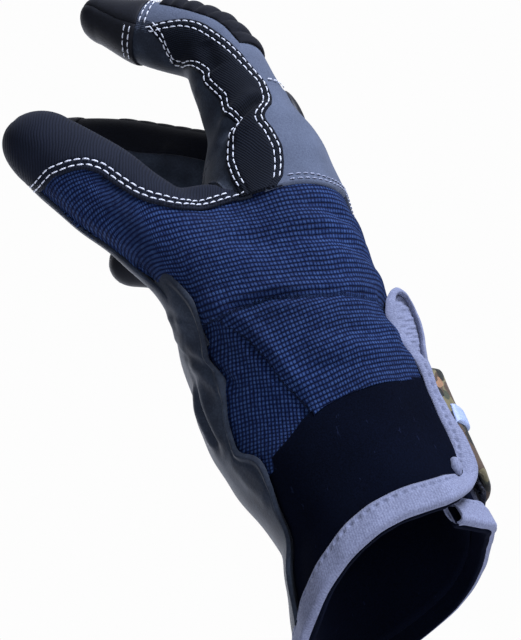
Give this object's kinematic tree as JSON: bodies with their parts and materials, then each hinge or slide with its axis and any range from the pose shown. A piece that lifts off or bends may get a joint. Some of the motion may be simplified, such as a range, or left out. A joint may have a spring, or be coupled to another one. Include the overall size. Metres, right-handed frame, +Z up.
{
  "type": "assembly glove",
  "caption": "Right-hand work glove, hollow and held in its worn curl, with knit back, leather palm, reinforced fingers and a tab-closed cuff.",
  "frame": {"origin": "centre of the wrist opening, where the hand goes in", "axes": "+Z up the hand from the wrist towards the fingers, +X towards the back of the hand, -Y towards the thumb"},
  "size_m": [0.0919, 0.1165, 0.2077],
  "materials": {
    "palm_leather": "dark grey synthetic leather with a fine nap",
    "knit": "dark blue knit with a raised grid of ribs",
    "grey_fabric": "plain grey stretch fabric",
    "black_rubber": "matte moulded rubber pad",
    "ribbed_reinforcement": "black finely ribbed reinforcement",
    "fingertip_fabric": "black synthetic leather",
    "rib_fabric": "black padded accordion ribs",
    "diagonal_weave": "black fabric in a fine diagonal weave",
    "finger_fabric": "black stretch fabric",
    "neoprene": "jersey-faced neoprene",
    "binding": "pale blue-grey folded stretch tape",
    "loop_pile": "black brushed loop pile",
    "camouflage_fabric": "camouflage-printed tab",
    "patch_rubber": "plain pale raised patch, blank"
  },
  "bodies": {
    "root": {"palm_leather": "palm_leather", "back_knit": "knit", "back_panel": "grey_fabric", "knuckle_pad": "black_rubber", "thumb_cap": "ribbed_reinforcement", "thumb_leather": "palm_leather", "index_tip_back": "fingertip_fabric", "index_tip_palm": "fingertip_fabric", "index_back": "grey_fabric", "index_ribs": "rib_fabric", "index_side_panel": "diagonal_weave", "index_palm": "palm_leather", "cuff_near": "neoprene", "cuff_far": "neoprene", "wrist_binding_near": "binding", "wrist_binding_far": "binding", "slit_binding": "binding", "loop_patch": "loop_pile", "closure_tab": "camouflage_fabric", "tab_patch": "patch_rubber", "middle_tip_back": "fingertip_fabric", "middle_tip_palm": "fingertip_fabric", "middle_back": "finger_fabric", "middle_ribs": "rib_fabric", "middle_palm": "palm_leather", "ring_tip_back": "fingertip_fabric", "ring_tip_palm": "fingertip_fabric", "ring_back": "finger_fabric", "ring_ribs": "rib_fabric", "ring_palm": "palm_leather", "little_tip_back": "fingertip_fabric", "little_tip_palm": "fingertip_fabric", "little_back": "finger_fabric", "little_ribs": "rib_fabric", "little_palm": "palm_leather"}
  },
  "joints": []
}
